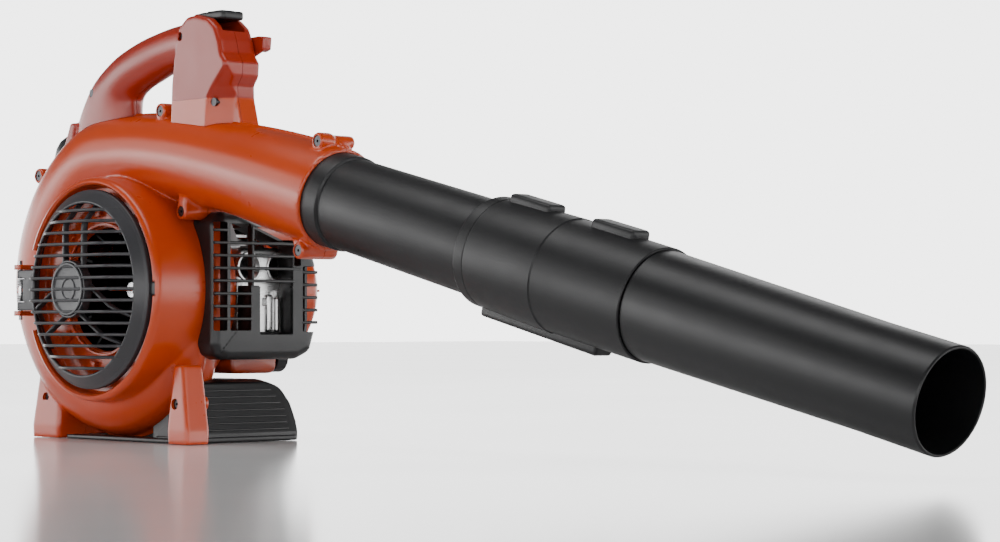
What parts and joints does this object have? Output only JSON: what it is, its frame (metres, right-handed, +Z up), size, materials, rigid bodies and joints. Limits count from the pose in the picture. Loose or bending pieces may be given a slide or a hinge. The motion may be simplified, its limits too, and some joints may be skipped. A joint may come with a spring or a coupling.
{
  "type": "handheld leaf blower",
  "caption": "Handheld petrol leaf blower: spiral fan housing with hinged intake guard, top handle with trigger, engine, and twist-lock blow tubes.",
  "frame": {"origin": "on the floor under the crankshaft axis, in the parting plane of the fan housing, on the underside of the stand", "axes": "+X the blowing direction, +Y the engine side, +Z up"},
  "size_m": [0.993, 0.2212, 0.341],
  "materials": {
    "orange_plastic": "gloss",
    "handle_orange": "gloss",
    "black_plastic": "satin",
    "guard_grey": "satin",
    "tube_black": "fine grained",
    "nozzle_black": "smooth satin",
    "steel": "brushed",
    "bright_steel": "bright",
    "cast_aluminium": "as cast",
    "muffler_steel": "bright pressed sheet",
    "gasket": "matt",
    "rubber": "matt",
    "tank_plastic": "translucent",
    "foam": "open foam",
    "clear_bulb": "clear",
    "rope": "braided"
  },
  "bodies": {
    "root": {"volute_intake_shell": "orange_plastic", "volute_engine_shell": "orange_plastic", "housing_screws": "steel", "stand": "black_plastic", "guard_hinge_pin": "steel", "crank_throw": "steel", "connecting_rod": "steel", "piston": "cast_aluminium", "piston_pin": "steel", "piston_ring": "steel", "crankcase_front": "cast_aluminium", "crankcase_rear": "cast_aluminium", "main_bearings": "bright_steel", "cylinder": "cast_aluminium", "spark_plug": "bright_steel", "plug_boot": "rubber", "muffler": "muffler_steel", "muffler_gasket": "gasket", "muffler_bolts": "steel", "muffler_cover": "black_plastic", "intake_insulator": "black_plastic", "carburettor": "cast_aluminium", "filter_base": "black_plastic", "air_filter": "foam", "air_filter_cover": "black_plastic", "fuel_tank": "tank_plastic", "fuel_line": "rubber", "ignition_module": "black_plastic", "ignition_lead": "rubber", "starter_housing": "black_plastic", "recoil_spring": "steel", "starter_rope": "rope", "cylinder_cover": "black_plastic", "handle_left_half": "handle_orange", "handle_right_half": "handle_orange", "trigger_pin": "steel", "throttle_cable": "rubber", "tube_1": "tube_black"},
    "guard": {"intake_guard": "guard_grey", "guard_badge": "guard_grey", "guard_spring": "bright_steel"},
    "latch": {"guard_latch": "guard_grey"},
    "rotor": {"impeller": "black_plastic", "impeller_nut": "steel", "crank_front_shaft": "steel", "crank_rear_shaft": "steel", "flywheel": "cast_aluminium"},
    "pawl": {"starter_pawl": "steel"},
    "trigger": {"throttle_trigger": "handle_orange"},
    "throttle_arm": {"throttle_arm": "steel"},
    "cruise": {"cruise_lever": "handle_orange"},
    "switch": {"stop_switch": "black_plastic"},
    "choke": {"choke_lever": "black_plastic"},
    "primer": {"primer_bulb": "clear_bulb"},
    "cap": {"fuel_cap": "black_plastic"},
    "knob": {"filter_knob": "black_plastic"},
    "grip": {"starter_grip": "black_plastic"},
    "pulley": {"starter_pulley": "black_plastic"},
    "tube_2": {"tube_2": "tube_black"},
    "nozzle": {"nozzle": "nozzle_black"}
  },
  "joints": [
    {"name": "guard_open", "type": "hinge", "parent": "root", "child": "guard", "pos_m": [-0.091, -0.0575, 0.122], "axis": [0, 0, -1], "range_deg": [0, 110], "stiffness_Nm_per_rad": 0.06, "springref_deg": -28.65},
    {"name": "latch_slide", "type": "slide", "parent": "guard", "child": "latch", "axis": [-1, 0, 0], "range_m": [0, 0.0036], "stiffness_N_per_m": 600, "springref_m": -0.001},
    {"name": "rotor_spin", "type": "hinge", "parent": "root", "child": "rotor", "pos_m": [0, 0, 0.122], "axis": [0, 1, 0], "continuous": true},
    {"name": "pawl_swing", "type": "hinge", "parent": "rotor", "child": "pawl", "pos_m": [0.022, 0.108, 0.122], "axis": [0, 1, 0], "range_deg": [0, 20], "stiffness_Nm_per_rad": 0.004, "springref_deg": -11.46},
    {"name": "trigger_pull", "type": "hinge", "parent": "root", "child": "trigger", "pos_m": [0.072, 0, 0.308], "axis": [0, -1, 0], "range_deg": [0, 14], "stiffness_Nm_per_rad": 0.1, "springref_deg": -11.46},
    {"name": "throttle_arm_turn", "type": "hinge", "parent": "root", "child": "throttle_arm", "pos_m": [-0.064, 0.062, 0.2], "axis": [0, 0, 1], "range_deg": [0, 56]},
    {"name": "cruise_set", "type": "hinge", "parent": "root", "child": "cruise", "pos_m": [0.11, 0.02, 0.312], "axis": [0, 1, 0], "range_deg": [0, 50]},
    {"name": "stop_push", "type": "slide", "parent": "root", "child": "switch", "axis": [0, 0, -1], "range_m": [0, 0.0025], "stiffness_N_per_m": 900, "springref_m": -0.001},
    {"name": "choke_turn", "type": "hinge", "parent": "root", "child": "choke", "pos_m": [-0.089, 0.102, 0.232], "axis": [0, -1, 0], "range_deg": [0, 60]},
    {"name": "primer_push", "type": "slide", "parent": "root", "child": "primer", "axis": [0, -1, 0], "range_m": [0, 0.003], "stiffness_N_per_m": 400, "springref_m": -0.001},
    {"name": "fuel_cap_turn", "type": "hinge", "parent": "root", "child": "cap", "pos_m": [0.05, 0.1, 0.067], "axis": [0, 1, 0], "range_deg": [0, 360]},
    {"name": "filter_knob_turn", "type": "hinge", "parent": "root", "child": "knob", "pos_m": [-0.166, 0.062, 0.244], "axis": [1, 0, 0], "range_deg": [0, 720]},
    {"name": "starter_pull", "type": "slide", "parent": "root", "child": "grip", "axis": [0, 0, 1], "range_m": [0, 0.5], "stiffness_N_per_m": 12, "springref_m": -0.3, "deforming": ["starter_rope"]},
    {"name": "pulley_turn", "type": "hinge", "parent": "root", "child": "pulley", "pos_m": [0, 0.126, 0.122], "axis": [0, 1, 0], "range_deg": [0, 1320]},
    {"name": "tube_2_twist", "type": "hinge", "parent": "root", "child": "tube_2", "pos_m": [0.42327, 0, 0.14311], "axis": [0.9708, 0, -0.2399], "range_deg": [0, 25]},
    {"name": "nozzle_twist", "type": "hinge", "parent": "tube_2", "child": "nozzle", "pos_m": [0.56306, 0, 0.10856], "axis": [0.9708, 0, -0.2399], "range_deg": [0, 25]}
  ],
  "couplings": [
    {"joint": "throttle_arm_turn", "follows": "trigger_pull", "ratio": 4},
    {"joint": "pulley_turn", "follows": "starter_pull", "rad_per_m": 45.455}
  ]
}
